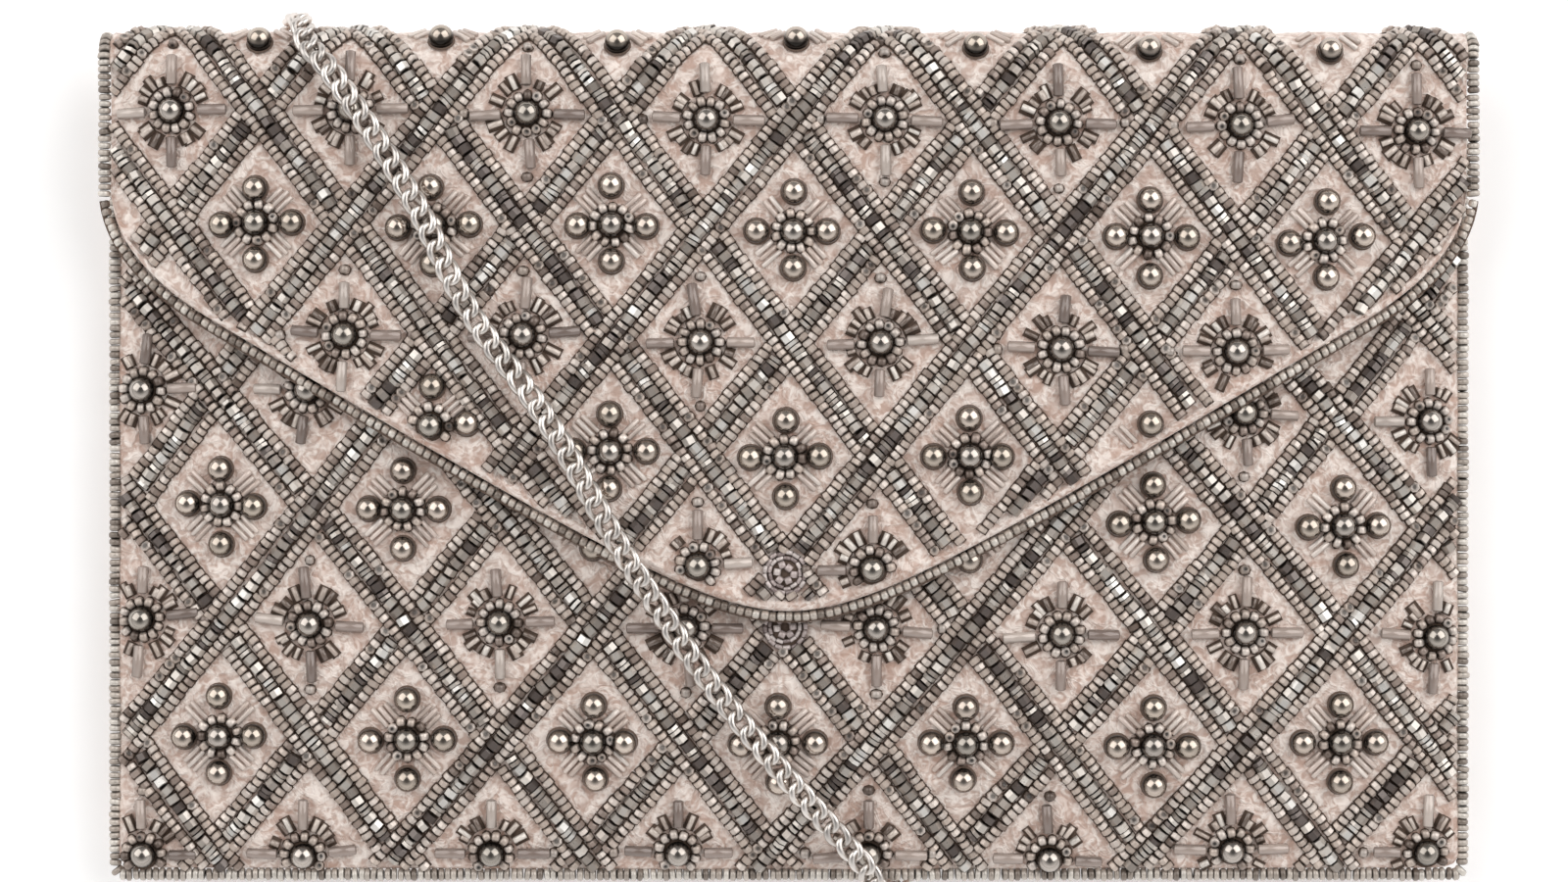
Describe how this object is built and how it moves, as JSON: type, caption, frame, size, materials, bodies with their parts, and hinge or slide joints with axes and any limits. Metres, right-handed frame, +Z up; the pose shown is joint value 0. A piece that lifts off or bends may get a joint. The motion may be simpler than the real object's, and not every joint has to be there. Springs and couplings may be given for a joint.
{
  "type": "clutch bag",
  "caption": "Blush satin envelope clutch with a diamond lattice of cut beads, pearl stars and crosses, a rounded flap over an open pouch, and a silver curb chain strap",
  "frame": {"origin": "middle of the flat patch of the back panel that the bag rests on", "axes": "+Z up out of the beaded front, +Y towards the top fold, +X to the right seen from the front"},
  "size_m": [0.2528, 0.1643, 0.0298],
  "materials": {
    "satin_plain": "blush satin, soft sheen",
    "satin_beaded": "blush satin sewn with pewter pearls, cut beads, bugles and seed beads",
    "bead_string": "glossy smoke glass beads",
    "chain_silver": "polished silver plate",
    "snap_steel": "plain nickel"
  },
  "bodies": {
    "root": {"back_panel": "satin_plain", "front_panel": "satin_beaded", "flap": "satin_beaded", "seam_edging_left": "bead_string", "seam_edging_right": "bead_string", "seam_edging_bottom": "bead_string", "flap_edging": "bead_string", "chain_strap": "chain_silver", "strap_tab_left": "satin_plain", "strap_tab_right": "satin_plain", "magnet_snap": "snap_steel"}
  },
  "joints": []
}
